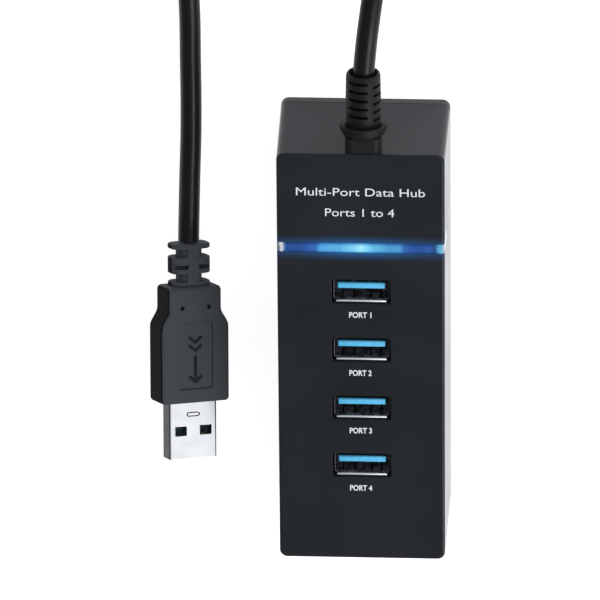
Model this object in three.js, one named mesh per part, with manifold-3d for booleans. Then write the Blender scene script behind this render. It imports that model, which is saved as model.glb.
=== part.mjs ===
// Four-port USB hub with a light bar, a captive lead and a type A plug.
// Millimetres, +Z up. The hub lies on its base cover: the origin is the middle of the base,
// the ports face +Z, the lead leaves the +Y end and X is the width.

import * as THREE from 'three';
import { mergeVertices } from 'three/addons/utils/BufferGeometryUtils.js';
import Module from 'manifold-3d';

const wasm = await Module();
wasm.setup();

// ---------------------------------------------------------------- driving dimensions

const HUB = { width: 39.5, length: 106.7, height: 29.5, draft: 0.3, corner: 1.8, edge: 0.7 };
const WALL = { side: 2.3, face: 2.2 };
const SEAM = { cover: 2.8, shell: 3.0 };
const LIP = { clearance: 0.2, wall: 1.2, top: 5.0 };
const BOARD = { width: 33.6, length: 100.4, bottom: 9.2, thickness: 1.6, mount: 0.05 };
const SCREW = { x: 13.2, y: 45.8, shank: 1.3, head: 2.5, headHeight: 1.6, seat: 6.2, top: 16.8 };
const BOSS = { radius: 2.8, pilot: 1.6, pilotTop: 18.5, pillar: 3.8, recess: 2.8 };

const PORT = { first: 17.5, pitch: 15.23, count: 4, windowX: 13.5, windowY: 6.1 };
const SHELL = { width: 13.15, height: 5.72, wall: 0.3, bottom: 11.0, mouth: 28.6, legBottom: 8.2 };
const FINGER = { x: 3.0, width: 2.2, length: 5.6, slot: 0.5, top: 26.6 };
const TONGUE = { width: 11.1, thickness: 1.7, offset: 1.0, top: 27.8, baseTop: 15.0 };

const BAR = { y: 28.9, width: 2.2, depth: 1.05, drop: 9.0, clearance: 0.15 };
const FAN = { top: 26, bottom: 5, thickness: 1.4, foot: 13.2 };

const RELIEF = { x: 0.55, z: 24.6, neckX: 8.3, neckZ: 8.4, neckEnd: 56.2, collarRadius: 5.55, collarCone: 2.2,
  collarEnd: 59.4, cup: 1.1, sleeveRadius: 4.1, mouthRadius: 3.95, end: 71.9, boreDepth: 1.7 };
const SLOT = { first: 61.0, pitch: 2.1, count: 5, width: 0.85, depth: 1.3, half: 2.9, turn: -18 };

const CORD = { radius: 2.5, sides: 10, steps: 32 };
const PLUG = { rear: new THREE.Vector3(-41.6, 16.68, 4.03), roll: 26, pitch: 17, yaw: 0.7 };
const GRIP = { shoulderX: 13.4, shoulder: 6.0, taper: 3.1, bodyX: 17.2, length: 27.7, thickness: 8.3, bevel: 1.2 };
const TAIL = { width: 9.6, height: 6.2, coreX: 5.7, coreZ: 5.4, spine: 3.0, ring: 1.2, gap: 1.9, block: 3.95,
  step: 1.05 };
const TIP = { width: 12.0, height: 4.5, wall: 0.3, exposed: 13.5, buried: 4.2 };

const boardTop = BOARD.bottom + BOARD.thickness;
const portY = (index) => PORT.first - PORT.pitch * index;
const halfLength = HUB.length / 2 - HUB.draft;

// The free lead, from the mouth of the strain relief round to the tail of the plug.
const LEAD_ROUTE = [
  [0.6, 70.5, 24.6], [1.0, 76, 24.6], [2.0, 85, 24.2], [3.8, 97, 21.6], [6.4, 110, 15.4],
  [8.8, 124, 8.3], [9.5, 139, 3.6], [6.4, 156, 2.6], [-3.5, 170.5, 2.55], [-18, 177.3, 2.55],
  [-33, 172, 2.55], [-42.7, 158, 2.55], [-46, 140, 2.55], [-45, 120, 2.55], [-42.6, 100, 2.55],
  [-40.9, 82, 2.55], [-40.65, 62, 2.55], [-40.75, 46, 2.55], [-41.2, 33, 2.55], [-41.45, 25, 2.58],
  [-41.55, 21, 3.0], [-41.6, 17.2, 3.9],
];

// ---------------------------------------------------------------- materials

const material = (color, roughness, metalness = 0) =>
  new THREE.MeshStandardMaterial({ color, roughness, metalness });
const LOOK = {
  housing: material(0x1b1c1e, 0.32),
  light: material(0x3f8fe8, 0.2),
  board: material(0x1e5a36, 0.55),
  nickel: material(0xc9cbce, 0.25, 1),
  steel: material(0x8d9094, 0.4, 1),
  tongue: material(0x2d86d8, 0.45),
  chip: material(0x17181a, 0.6),
  can: material(0xb8bcc0, 0.3, 1),
  rubber: material(0x141416, 0.7),
  led: material(0xf2f4e8, 0.3),
};

// ---------------------------------------------------------------- solids and shapes

// Turns a closed three.js geometry into a manifold solid that can be cut and joined.
function solid(geometry) {
  const bare = geometry.clone();
  bare.deleteAttribute('normal');
  bare.deleteAttribute('uv');
  const merged = mergeVertices(bare, 1e-4);
  return new wasm.Manifold(new wasm.Mesh({
    numProp: 3,
    vertProperties: new Float32Array(merged.attributes.position.array),
    triVerts: new Uint32Array(merged.index.array),
  }));
}

// Turns a manifold solid back into a geometry with flat normals.
function geometryOf(body) {
  const mesh = body.getMesh();
  const geometry = new THREE.BufferGeometry();
  geometry.setAttribute('position', new THREE.BufferAttribute(new Float32Array(mesh.vertProperties), 3));
  geometry.setIndex(new THREE.BufferAttribute(new Uint32Array(mesh.triVerts), 1));
  geometry.computeVertexNormals();
  return geometry;
}

const join = (first, ...others) => others.reduce((sum, other) => sum.add(other), first);
const cut = (first, ...others) => others.reduce((rest, other) => rest.subtract(other), first);

function roundedRect(width, height, radius) {
  const x = width / 2 - radius;
  const y = height / 2 - radius;
  const shape = new THREE.Shape();
  shape.absarc(x, y, radius, 0, Math.PI / 2);
  shape.absarc(-x, y, radius, Math.PI / 2, Math.PI);
  shape.absarc(-x, -y, radius, Math.PI, 1.5 * Math.PI);
  shape.absarc(x, -y, radius, 1.5 * Math.PI, 2 * Math.PI);
  return shape;
}

const slabGeometry = (shape, z0, z1, curveSegments = 3) =>
  new THREE.ExtrudeGeometry(shape, { depth: z1 - z0, bevelEnabled: false, curveSegments }).translate(0, 0, z0);
const slab = (shape, z0, z1, curveSegments) => solid(slabGeometry(shape, z0, z1, curveSegments));

function boxGeometry([x0, x1], [y0, y1], [z0, z1]) {
  return new THREE.BoxGeometry(x1 - x0, y1 - y0, z1 - z0)
    .translate((x0 + x1) / 2, (y0 + y1) / 2, (z0 + z1) / 2);
}
const box = (x, y, z) => solid(boxGeometry(x, y, z));

// An upright cylinder standing at (x, y).
function postGeometry(radius, [x, y], [z0, z1], sides = 14) {
  return new THREE.CylinderGeometry(radius, radius, z1 - z0, sides).rotateX(Math.PI / 2)
    .translate(x, y, (z0 + z1) / 2);
}
const post = (radius, at, z, sides) => solid(postGeometry(radius, at, z, sides));

// A block with a rounded-rectangle section in XZ, running along Y.
function barY(width, height, radius, [y0, y1], [x, z], curveSegments = 3) {
  const geometry = new THREE.ExtrudeGeometry(roundedRect(width, height, radius),
    { depth: y1 - y0, bevelEnabled: false, curveSegments });
  return solid(geometry.rotateX(Math.PI / 2).translate(x, y1, z));
}

// A solid of revolution about a line along +Y; the profile is [radius, y] pairs from axis to axis.
function lathed(profile, [x, z], sides) {
  const points = profile.map(([radius, y]) => new THREE.Vector2(radius, y));
  return solid(new THREE.LatheGeometry(points, sides).translate(x, 0, z));
}

// ---------------------------------------------------------------- assembly helpers

const hub = new THREE.Group();

function add(name, geometry, look, parent = hub) {
  const mesh = new THREE.Mesh(geometry, look);
  mesh.name = name;
  parent.add(mesh);
  return mesh;
}

const cornersOf = ({ x, y }) => [[x, y], [-x, y], [-x, -y], [x, -y]];

// ---------------------------------------------------------------- housing

// The drafted outer form with rounded edges, running from the base to the port face.
function outerForm() {
  const { width, length, height, draft, corner, edge } = HUB;
  const outline = roundedRect(width - 2 * edge, length - 2 * edge, corner - edge);
  const form = new THREE.ExtrudeGeometry(outline, {
    depth: height - 2 * edge, bevelThickness: edge, bevelSize: edge, bevelSegments: 2, curveSegments: 3,
  }).translate(0, 0, edge);
  const position = form.attributes.position;
  for (let i = 0; i < position.count; i += 1) {
    const rise = position.getZ(i) / height;
    position.setX(i, position.getX(i) * (1 - (2 * draft * rise) / width));
    position.setY(i, position.getY(i) * (1 - (2 * draft * rise) / length));
  }
  return solid(form);
}

// The U of the light bar, following the outside of the housing over the face and down both sides.
function barRing(margin) {
  const half = BAR.width / 2 + margin;
  const depth = BAR.depth + margin;
  const low = HUB.height - BAR.drop - margin;
  const block = box([-30, 30], [BAR.y - half, BAR.y + half], [low, HUB.height + 5]);
  const inner = HUB.width / 2 - HUB.draft - depth;
  return cut(block, box([-inner, inner], [0, HUB.length], [0, HUB.height - depth]));
}

function fanOutline(margin) {
  const shape = new THREE.Shape();
  shape.moveTo(-FAN.bottom / 2 - margin, FAN.foot);
  shape.lineTo(FAN.bottom / 2 + margin, FAN.foot);
  shape.lineTo(FAN.top / 2 + margin, HUB.height - 4);
  shape.lineTo(FAN.top / 2 + margin, HUB.height - BAR.depth + 0.2);
  shape.lineTo(-FAN.top / 2 - margin, HUB.height - BAR.depth + 0.2);
  shape.lineTo(-FAN.top / 2 - margin, HUB.height - 4);
  shape.closePath();
  return shape;
}

// The plate that spreads the light from the diode up to the bar.
function fan(margin) {
  const depth = FAN.thickness + 2 * margin;
  const geometry = new THREE.ExtrudeGeometry(fanOutline(margin), { depth, bevelEnabled: false });
  return solid(geometry.rotateX(Math.PI / 2).translate(0, BAR.y + depth / 2, 0));
}

function topShell() {
  const cavityX = HUB.width - 2 * WALL.side;
  const cavityY = HUB.length - 2 * WALL.side;
  let shell = cut(
    outerForm(),
    box([-30, 30], [-70, 70], [-5, SEAM.shell]),
    slab(roundedRect(cavityX, cavityY, 1.0), -1, HUB.height - WALL.face),
  );
  for (const at of cornersOf(SCREW)) {
    shell = join(shell, post(BOSS.radius, at, [boardTop + 0.1, HUB.height - WALL.face + 0.5]));
    shell = cut(shell, post(BOSS.pilot, at, [boardTop - 1, BOSS.pilotTop]));
  }
  for (let i = 0; i < PORT.count; i += 1) {
    const window = slab(roundedRect(PORT.windowX, PORT.windowY, 0.5), 20, 40, 2);
    shell = cut(shell, window.translate([0, portY(i), 0]));
  }
  const cableHole = barY(7.0, 5.6, 1.4, [45, 60], [RELIEF.x, RELIEF.z - 0.3]);
  return cut(shell, barRing(BAR.clearance), fan(0.3), cableHole);
}

function baseCover() {
  const lipX = HUB.width - 2 * WALL.side - 2 * LIP.clearance;
  const lipY = HUB.length - 2 * WALL.side - 2 * LIP.clearance;
  const ring = cut(
    slab(roundedRect(lipX, lipY, 0.8), SEAM.cover - 0.5, LIP.top),
    slab(roundedRect(lipX - 2 * LIP.wall, lipY - 2 * LIP.wall, 0.5), 0, LIP.top + 1, 2),
  );
  let cover = cut(outerForm(), box([-30, 30], [-70, 70], [SEAM.cover, 40]));
  cover = join(cover, ring);
  for (const at of cornersOf(SCREW)) {
    cover = join(cover, post(BOSS.pillar, at, [1, BOARD.bottom]));
  }
  for (const at of cornersOf(SCREW)) {
    cover = cut(cover, post(BOSS.recess, at, [-1, SCREW.seat]), post(BOSS.pilot, at, [0, 12]));
  }
  return cover;
}

function lightBar() {
  const strip = barRing(0).intersect(outerForm());
  return join(strip, fan(0));
}

add('top_shell', geometryOf(topShell()), LOOK.housing);
add('base_cover', geometryOf(baseCover()), LOOK.housing);
add('light_bar', geometryOf(lightBar()), LOOK.light);

// ---------------------------------------------------------------- cover screws

function screwGeometry() {
  const profile = [
    [0, 0], [SCREW.head, 0], [SCREW.head, SCREW.headHeight], [SCREW.shank, SCREW.headHeight],
    [SCREW.shank, SCREW.top - SCREW.seat], [0, SCREW.top - SCREW.seat + SCREW.shank],
  ].map(([radius, z]) => new THREE.Vector2(radius, z));
  const body = solid(new THREE.LatheGeometry(profile, 12).rotateX(Math.PI / 2));
  const arm = 1.5;
  const depth = 0.9;
  const cross = join(
    box([-arm, arm], [-0.35, 0.35], [-1, depth]),
    box([-0.35, 0.35], [-arm, arm], [-1, depth]),
  );
  return geometryOf(cut(body, cross));
}

cornersOf(SCREW).forEach(([x, y], index) => {
  const screw = add(`cover_screw_${index + 1}`, screwGeometry(), LOOK.steel);
  screw.position.set(x, y, SCREW.seat - SCREW.headHeight - BOARD.mount);
});

// ---------------------------------------------------------------- circuit board

function circuitBoard() {
  let board = slab(roundedRect(BOARD.width, BOARD.length, 1.5), BOARD.bottom, boardTop);
  for (const at of cornersOf(SCREW)) {
    board = cut(board, post(BOSS.pilot, at, [0, 20]));
  }
  const legX = SHELL.width / 2 - SHELL.wall / 2;
  for (let i = 0; i < PORT.count; i += 1) {
    for (const side of [-1, 1]) {
      const x = side * legX;
      board = cut(board, box([x - 0.5, x + 0.5], [portY(i) - 2.3, portY(i) + 2.3], [0, 20]));
    }
  }
  return board;
}

// A flat part soldered to the top of the board.
function chip(name, [x, y], [sizeX, sizeY, sizeZ], look) {
  const low = boardTop + BOARD.mount;
  const body = boxGeometry([x - sizeX / 2, x + sizeX / 2], [y - sizeY / 2, y + sizeY / 2], [low, low + sizeZ]);
  add(name, body, look);
}

function capacitor(name, at) {
  const low = boardTop + BOARD.mount;
  add(name, postGeometry(2.5, at, [low, low + 7.5], 16), LOOK.can);
}

add('circuit_board', geometryOf(circuitBoard()), LOOK.board);
chip('hub_controller', [-8.5, 36], [9, 9, 0.9], LOOK.chip);
chip('clock_crystal', [-12, 26.5], [5, 3.2, 1.1], LOOK.can);
chip('indicator_led', [0, BAR.y], [3.5, 2.8, 1.9], LOOK.led);
chip('voltage_regulator', [9.5, 28], [6.5, 3.5, 1.6], LOOK.chip);
for (let i = 0; i < PORT.count; i += 1) {
  capacitor(`bus_capacitor_${i + 1}`, [12, portY(i) - PORT.pitch / 2]);
}

// ---------------------------------------------------------------- ports

function portShell() {
  const { width, height, wall, bottom, mouth, legBottom } = SHELL;
  let shell = cut(
    slab(roundedRect(width, height, 0.6), bottom, mouth, 2),
    slab(roundedRect(width - 2 * wall, height - 2 * wall, 0.3), bottom - 1, mouth + 1, 2),
  );
  for (const side of [-1, 1]) {
    const x = side * (width / 2 - wall / 2);
    for (const y of [-1.3, 1.3]) {
      const leg = box([x - wall / 2, x + wall / 2], [y - 0.6, y + 0.6], [legBottom, bottom + 0.5]);
      shell = join(shell, leg);
    }
  }
  // Two spring fingers in each long wall, each freed by a slot on three sides.
  const low = FINGER.top - FINGER.length;
  for (const x of [-FINGER.x, FINGER.x]) {
    const half = FINGER.width / 2;
    shell = cut(
      shell,
      box([x - half - FINGER.slot, x - half], [-4, 4], [low, FINGER.top]),
      box([x + half, x + half + FINGER.slot], [-4, 4], [low, FINGER.top]),
      box([x - half - FINGER.slot, x + half + FINGER.slot], [-4, 4], [low - FINGER.slot, low]),
    );
  }
  return shell;
}

// The plastic base inside the shell, with the tongue that carries the contacts.
function portInsulator() {
  const innerX = SHELL.width - 2 * SHELL.wall - 0.3;
  const innerY = SHELL.height - 2 * SHELL.wall - 0.3;
  const base = box([-innerX / 2, innerX / 2], [-innerY / 2, innerY / 2], [SHELL.bottom, TONGUE.baseTop]);
  const y = TONGUE.offset;
  const half = TONGUE.thickness / 2;
  const tongue = box([-TONGUE.width / 2, TONGUE.width / 2], [y - half, y + half], [TONGUE.baseTop - 1, TONGUE.top]);
  return join(base, tongue);
}

for (let i = 0; i < PORT.count; i += 1) {
  const port = new THREE.Group();
  port.position.set(0, portY(i), 0);
  hub.add(port);
  add(`port_${i + 1}_shell`, geometryOf(portShell()), LOOK.nickel, port);
  add(`port_${i + 1}_insulator`, geometryOf(portInsulator()), LOOK.tongue, port);
}

// ---------------------------------------------------------------- strain relief

function strainRelief() {
  const { x, z, neckX, neckZ, neckEnd, collarRadius, collarCone, collarEnd, cup, sleeveRadius, mouthRadius, end,
    boreDepth } = RELIEF;
  const wallInside = HUB.length / 2 - WALL.side;
  const neckFrom = halfLength + 0.3;
  const flange = barY(11, 5.4, 1.2, [wallInside - 2.3, wallInside - 0.3], [x, z - 0.3]);
  const through = barY(6.4, 5.0, 1.2, [wallInside - 1, neckFrom + 1], [x, z - 0.3]);
  const neck = barY(neckX, neckZ, 1.8, [neckFrom, neckEnd + 0.5], [x, z + 0.2]);
  // The collar flares out from the neck into a shallow cup, on the upper half only.
  const collar = cut(
    lathed([
      [0, neckEnd], [sleeveRadius + 0.3, neckEnd], [collarRadius, neckEnd + collarCone], [collarRadius, collarEnd],
      [collarRadius - 0.35, collarEnd], [sleeveRadius - 0.1, collarEnd - cup], [0, collarEnd - cup],
    ], [x, z], 20),
    box([-30, 30], [0, 80], [0, z - 0.4]),
  );
  const boreRadius = CORD.radius + 0.4;
  const sleeve = lathed([
    [0, neckEnd], [sleeveRadius, neckEnd], [sleeveRadius, end - 6], [mouthRadius, end - 0.6],
    [mouthRadius - 0.5, end], [mouthRadius - 0.9, end], [boreRadius, end - boreDepth], [0, end - boreDepth],
  ], [x, z], 20);
  return bendingSlots().reduce((relief, slot) => cut(relief, slot), join(flange, through, neck, collar, sleeve));
}

// Rows of bending slots: two facing slots to a row, each row turned a quarter from the last.
function bendingSlots() {
  const slots = [];
  for (let row = 0; row < 2 * SLOT.count; row += 1) {
    const y = SLOT.first + (SLOT.pitch / 2) * row;
    for (const side of [0, 180]) {
      const slot = box(
        [-SLOT.half, SLOT.half],
        [y - SLOT.width / 2, y + SLOT.width / 2],
        [RELIEF.sleeveRadius - SLOT.depth, 6],
      );
      const turn = SLOT.turn + side + (row % 2 === 0 ? 90 : 0);
      slots.push(slot.rotate([0, turn, 0]).translate([RELIEF.x, 0, RELIEF.z]));
    }
  }
  return slots;
}

add('strain_relief', geometryOf(strainRelief()), LOOK.rubber);

// ---------------------------------------------------------------- wires and lead

function circle(radius, sides) {
  const points = [];
  for (let i = 0; i < sides; i += 1) {
    const angle = (2 * Math.PI * i) / sides;
    points.push(new THREE.Vector2(radius * Math.cos(angle), radius * Math.sin(angle)));
  }
  return new THREE.Shape(points);
}

function tubeGeometry(route, radius, sides, steps) {
  const extrudePath = new THREE.CatmullRomCurve3(route.map((point) => new THREE.Vector3(...point)), false, 'centripetal');
  return new THREE.ExtrudeGeometry(circle(radius, sides), { steps, bevelEnabled: false, extrudePath });
}

// The conductors that fan out from the inner end of the strain relief to the board.
const WIRES = [
  ['wire_power', 0xb3261e, 0.55, 9.5],
  ['wire_ground', 0x1a1a1a, 0.55, 7.3],
  ['wire_data_minus', 0xdedede, 0.45, 5.4],
  ['wire_data_plus', 0x2e8b3d, 0.45, 3.7],
  ['wire_pair_receive', 0x2a5fb0, 0.7, 1.5],
  ['wire_pair_transmit', 0x7a4fa3, 0.7, -1.2],
];
WIRES.forEach(([name, color, radius, padX], index) => {
  const startX = RELIEF.x + 3.9 - 1.55 * index;
  const startY = HUB.length / 2 - WALL.side - 2.6;
  const startZ = RELIEF.z - 0.3;
  const route = [
    [startX, startY, startZ], [startX, startY - 2.5, startZ - 0.4],
    [(startX + padX) / 2, startY - 6.5, startZ - 6], [padX, startY - 7.5, boardTop + 4.5],
    [padX, startY - 8.2, boardTop + 0.1],
  ];
  add(name, tubeGeometry(route, radius, 8, 10), material(color, 0.5));
});

add('lead_cord', tubeGeometry(LEAD_ROUTE, CORD.radius, CORD.sides, CORD.steps), LOOK.rubber);

// ---------------------------------------------------------------- plug

// The plug's own frame: it points along -Y, starts at its tail at y = 0, and +Z is its top face.
const plug = new THREE.Group();
plug.position.copy(PLUG.rear);
const { degToRad } = THREE.MathUtils;
plug.rotation.set(-degToRad(PLUG.pitch), degToRad(PLUG.roll), degToRad(PLUG.yaw), 'ZXY');
hub.add(plug);

const tailLength = TAIL.ring + TAIL.gap + TAIL.block + TAIL.gap + TAIL.step;
const noseY = -(tailLength + GRIP.length);

function gripOutline() {
  const { shoulderX, shoulder, taper, bodyX, length, bevel } = GRIP;
  const narrow = shoulderX / 2 - bevel;
  const wide = bodyX / 2 - bevel;
  const rear = -tailLength - bevel;
  const front = -tailLength - length + bevel;
  const shape = new THREE.Shape();
  shape.moveTo(narrow - 0.8, rear);
  shape.lineTo(-narrow + 0.8, rear);
  shape.lineTo(-narrow, rear - 0.8);
  shape.lineTo(-narrow, -tailLength - shoulder);
  shape.lineTo(-wide, -tailLength - shoulder - taper);
  shape.lineTo(-wide, front + 0.8);
  shape.lineTo(-wide + 0.8, front);
  shape.lineTo(wide - 0.8, front);
  shape.lineTo(wide, front + 0.8);
  shape.lineTo(wide, -tailLength - shoulder - taper);
  shape.lineTo(narrow, -tailLength - shoulder);
  shape.lineTo(narrow, rear - 0.8);
  shape.closePath();
  return shape;
}

function plugOvermould() {
  const { width, height, coreX, coreZ, spine, ring, gap, block, step } = TAIL;
  const tailPart = (from, length) => barY(width, height, 2.2, [-from - length, -from], [0, 0]);
  const core = join(
    barY(coreX, coreZ, 1.8, [-tailLength - 2, -0.2], [0, 0]),
    box([-spine / 2, spine / 2], [-tailLength - 0.5, -0.3], [0, height / 2 - 0.05]),
  );
  const grip = solid(new THREE.ExtrudeGeometry(gripOutline(), {
    depth: GRIP.thickness - 2 * GRIP.bevel, bevelThickness: GRIP.bevel, bevelSize: GRIP.bevel, bevelSegments: 2,
  }).translate(0, 0, -GRIP.thickness / 2 + GRIP.bevel));
  const pocket = box(
    [-TIP.width / 2 - 0.3, TIP.width / 2 + 0.3],
    [noseY - 1, noseY + TIP.buried + 0.3],
    [-TIP.height / 2 - 0.3, TIP.height / 2 + 0.3],
  );
  const panelFrom = -tailLength - GRIP.shoulder - GRIP.taper;
  const panel = box([-4.6, 4.6], [noseY + 3.4, panelFrom], [GRIP.thickness / 2 - 0.4, 10]);
  return cut(
    join(core, tailPart(0, ring), tailPart(ring + gap, block), tailPart(ring + 2 * gap + block, step), grip),
    pocket,
    panel,
  );
}

function plugShell() {
  const { width, height, wall, exposed, buried } = TIP;
  const span = [noseY - exposed, noseY + buried];
  let shell = cut(
    barY(width, height, 0.7, span, [0, 0], 2),
    barY(width - 2 * wall, height - 2 * wall, 0.4, [span[0] - 1, span[1] + 1], [0, 0], 2),
  );
  const holeY = span[0] + 6.7;
  for (const x of [-3.13, 3.13]) {
    shell = cut(shell, box([x - 1.3, x + 1.3], [holeY - 1.15, holeY + 1.15], [-4, 4]));
  }
  return shell;
}

function plugInsulator() {
  const { width, height, wall, exposed, buried } = TIP;
  const half = width / 2 - wall - 0.35;
  const low = -height / 2 + wall + 0.15;
  return boxGeometry([-half, half], [noseY - exposed + 0.6, noseY + buried], [low, low + 1.9]);
}

add('plug_overmould', geometryOf(plugOvermould()), LOOK.rubber, plug);
add('plug_shell', geometryOf(plugShell()), LOOK.nickel, plug);
add('plug_insulator', plugInsulator(), LOOK.tongue, plug);

export default hub;
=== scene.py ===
"""The looks of a four-port USB hub with a light bar and a captive lead, built around its CAD frame."""

import math
from contextlib import contextmanager

import bmesh
import bpy
from bpy.props import FloatProperty, FloatVectorProperty, PointerProperty, StringProperty
from bpy.types import Operator, Panel, PropertyGroup
from mathutils import Matrix, Vector


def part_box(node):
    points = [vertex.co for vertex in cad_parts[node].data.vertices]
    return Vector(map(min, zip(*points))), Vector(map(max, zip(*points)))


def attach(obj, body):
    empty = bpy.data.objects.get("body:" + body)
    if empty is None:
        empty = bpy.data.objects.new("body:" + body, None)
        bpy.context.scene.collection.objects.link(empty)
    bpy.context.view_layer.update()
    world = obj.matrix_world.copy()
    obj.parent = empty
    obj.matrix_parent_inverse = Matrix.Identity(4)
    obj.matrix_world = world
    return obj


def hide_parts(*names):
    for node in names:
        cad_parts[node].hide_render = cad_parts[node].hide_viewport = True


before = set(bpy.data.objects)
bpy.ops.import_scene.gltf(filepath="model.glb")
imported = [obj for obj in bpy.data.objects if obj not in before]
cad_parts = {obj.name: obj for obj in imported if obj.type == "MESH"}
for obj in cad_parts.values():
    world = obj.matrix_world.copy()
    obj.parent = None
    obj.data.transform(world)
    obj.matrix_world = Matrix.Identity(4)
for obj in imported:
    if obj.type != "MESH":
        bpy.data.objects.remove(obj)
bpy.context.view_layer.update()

bl_info = {
    "name": "USB Hub Maker",
    "version": (1, 0, 0),
    "blender": (4, 5, 0),
    "location": "View3D > Sidebar > Hub",
    "description": "Models a four-port hub with a light bar, a strain relief, a lead and a plug",
    "category": "Add Mesh",
}

MM = 0.001
PORT_NAMES = ("port_1", "port_2", "port_3", "port_4")

# Sizes that the connectors' standard fixes, in millimetres.
CONTACT_PLACES = (-3.5, -1.0, 1.0, 3.5)
TONGUE_HALF = 5.55
PLUG_HALF_WIDTH = 6
PLUG_HALF_HEIGHT = 2.25

# Places and sizes that pieces share, in millimetres.
PLUG_REAR = (-41.6, 16.68, 4.03)
COLLAR_RADIUS = 5.55
BURIED = 4.2
PLATE_TOP = 2.8
PILOT_RADIUS = 1.6
SLOT_ROWS = 10
SLOT_PITCH = 1.05
OVAL_FROM_TIP = 10.6

# A cutter that passes right through the housing ends this far from its middle, in millimetres.
BEYOND = 30

# The sprung fingers of a port shell: place and width, in millimetres.
FINGERS = ((-3.1, 2.3), (3.3, 1.9))

# The floor lies this far under the hub, in millimetres, and gives off this much light of its own.
FLOOR_DROP = 0.05
FLOOR_GLOW = 0.86

# The lead's centre line, from the mouth of the strain relief to the tail of the plug, in millimetres.
LEAD_ROUTE = (
    (0.6, 70.5, 24.6), (1.0, 76, 24.6), (2.0, 85, 24.2), (3.8, 97, 21.6), (6.4, 110, 15.4),
    (8.8, 124, 8.3), (9.5, 139, 3.6), (6.4, 156, 2.6), (-3.5, 170.5, 2.55), (-18, 177.3, 2.55),
    (-33, 172, 2.55), (-42.7, 158, 2.55), (-46, 140, 2.55), (-45, 120, 2.55), (-42.6, 100, 2.55),
    (-40.9, 82, 2.55), (-40.65, 62, 2.55), (-40.75, 46, 2.55), (-41.2, 33, 2.55), (-41.45, 25, 2.58),
    (-41.55, 21, 3.0), (-41.6, 17.2, 3.9),
)


# ---------------------------------------------------------------- settings


def length(name, description, millimetres):
    return FloatProperty(name=name, description=description, default=millimetres * MM,
                         unit="LENGTH", precision=5)


def angle(name, description, degrees):
    return FloatProperty(name=name, description=description, default=math.radians(degrees), subtype="ANGLE")


def colour(name, description, value):
    return FloatVectorProperty(name=name, description=description, default=value, size=3, subtype="COLOR",
                               min=0.0, max=1.0)


class HubHousingSettings(PropertyGroup):
    corner: length("Corner", "Radius of the upright corners", 1.8)
    long_edge: length("Long edge", "Rounding of the top face's edges", 0.7)
    side_wall: length("Side wall", "Thickness of the side walls at the base", 2.3)
    face_wall: length("Face wall", "Thickness of the top face", 2.2)
    draft: length("Draft", "Narrowing of each side from the base to the top face", 0.3)
    fine_edge: length("Fine edge", "Rounding of the cut edges", 0.12)
    groove: length("Groove", "Depth of the light bar's groove", 1.2)


class HubPortSettings(PropertyGroup):
    window_x: length("Window width", "Width of a port's window in the top face", 13.7)
    window_y: length("Window height", "Height of a port's window in the top face", 6.3)
    sheet: length("Sheet", "Thickness of the shell's steel", 0.3)
    flare: length("Flare", "How far the mouth's lips lean out", 0.4)
    lip: length("Lip", "Height of the mouth's lip", 0.45)


class HubLeadSettings(PropertyGroup):
    diameter: length("Diameter", "Thickness of the lead", 5.0)
    run: length("Length", "Length of the lead from the strain relief to the plug", 300)


class HubPlugSettings(PropertyGroup):
    roll: angle("Roll", "Turn of the plug about its own length", 26)
    yaw: angle("Yaw", "Turn of the plug on the table", 0.7)
    pitch: angle("Pitch", "Rise of the plug towards its tip", 17)
    tail: length("Tail", "Length of the notched tail", 10.0)
    grip: length("Grip", "Length of the grip", 27.7)
    shoulder: length("Shoulder", "Width of the grip's narrow end", 13.4)
    width: length("Width", "Width of the grip", 17.2)
    thickness: length("Thickness", "Thickness of the grip", 8.3)
    bare: length("Bare shell", "How far the steel shell stands out of the grip", 13.5)


class HubColourSettings(PropertyGroup):
    plastic: colour("Plastic", "Housing plastic", (0.0192, 0.0214, 0.0250))
    grip: colour("Grip", "Plug grip", (0.047, 0.051, 0.057))
    boot: colour("Boot", "Strain relief", (0.011, 0.012, 0.0135))
    jacket: colour("Jacket", "Lead jacket", (0.0085, 0.0092, 0.0105))
    steel: colour("Steel", "Nickel-plated steel of the ports and the plug", (0.78, 0.78, 0.79))
    tongue: colour("Tongue", "Blue plastic of the ports", (0.12, 0.50, 0.78))
    ink: colour("Ink", "Printed legends", (0.74, 0.75, 0.77))


class HubSettings(PropertyGroup):
    housing: PointerProperty(name="Housing", description="Sizes of the housing", type=HubHousingSettings)
    port: PointerProperty(name="Ports", description="Sizes of the ports", type=HubPortSettings)
    lead: PointerProperty(name="Lead", description="Sizes of the lead", type=HubLeadSettings)
    plug: PointerProperty(name="Plug", description="Sizes and lie of the plug", type=HubPlugSettings)
    colours: PointerProperty(name="Colours", description="Colours of the finishes", type=HubColourSettings)


# ---------------------------------------------------------------- modelling helpers


def pick_only(*objects):
    bpy.ops.object.select_all(action="DESELECT")
    for obj in objects:
        obj.select_set(True)
    bpy.context.view_layer.objects.active = objects[0]


@contextmanager
def editing(obj):
    """Edit mode on one object, with nothing selected at the start."""
    pick_only(obj)
    bpy.ops.object.mode_set(mode="EDIT")
    bpy.ops.mesh.select_mode(type="FACE")
    bpy.ops.mesh.select_all(action="DESELECT")
    yield
    bpy.ops.object.mode_set(mode="OBJECT")


def select_faces(obj, test):
    """Selects the faces whose centre and normal pass the test."""
    bpy.ops.mesh.select_mode(type="FACE")
    bpy.ops.mesh.select_all(action="DESELECT")
    work = bmesh.from_edit_mesh(obj.data)
    for face in work.faces:
        if test(face.calc_center_median(), face.normal):
            face.select_set(True)
    bmesh.update_edit_mesh(obj.data)


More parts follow.
